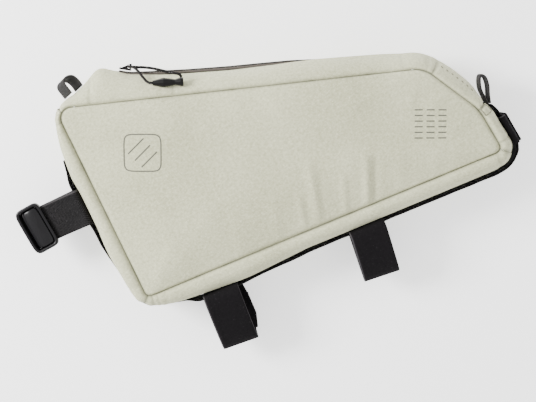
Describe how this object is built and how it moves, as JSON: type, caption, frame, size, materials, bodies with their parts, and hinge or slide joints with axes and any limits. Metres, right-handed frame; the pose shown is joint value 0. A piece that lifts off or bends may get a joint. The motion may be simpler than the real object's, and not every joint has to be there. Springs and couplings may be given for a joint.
{
  "type": "bicycle frame bag",
  "caption": "Flat trapezoid bicycle frame bag with a zip along its slanted edge, hook-and-loop straps along its long edge and a ladder-lock buckle strap at its tall end.",
  "frame": {"origin": "middle of the underside of the object's box, on the surface that the back panel lies on", "axes": "+X along the strap edge from the tall end to the narrow end, +Y from the strap edge to the zip, +Z from the back panel to the front panel"},
  "size_m": [0.3994, 0.2508, 0.0585],
  "materials": {
    "shell_fabric": "matt woven fabric, pale grey-green",
    "webbing": "matt woven webbing, near black",
    "hook_and_loop": "matt brushed loop fabric, near black",
    "moulded": "satin moulded plastic, black",
    "zip_tape": "matt tape with a moulded coil, grey-brown",
    "cord": "braided cord, dark with pale flecks"
  },
  "bodies": {
    "root": {"front_panel": "shell_fabric", "back_panel": "shell_fabric", "front_strip_bottom": "shell_fabric", "back_strip_bottom": "shell_fabric", "front_strip_right": "shell_fabric", "back_strip_right": "shell_fabric", "front_strip_top": "shell_fabric", "back_strip_top": "shell_fabric", "front_strip_left": "shell_fabric", "back_strip_left": "shell_fabric", "gusset_bottom": "webbing", "keeper_bottom": "webbing", "gusset_right": "webbing", "keeper_right": "webbing", "gusset_left": "webbing", "keeper_left": "webbing", "zip_tape": "zip_tape", "zip_end_cap": "shell_fabric", "zip_coil": "zip_tape", "zip_slider": "moulded", "pull_cord": "cord", "pull_end": "moulded", "strap_1": "hook_and_loop", "strap_2": "hook_and_loop", "strap_3": "hook_and_loop", "buckle_strap": "webbing", "buckle": "moulded", "pull_tab": "webbing", "end_loop": "webbing"}
  },
  "joints": []
}
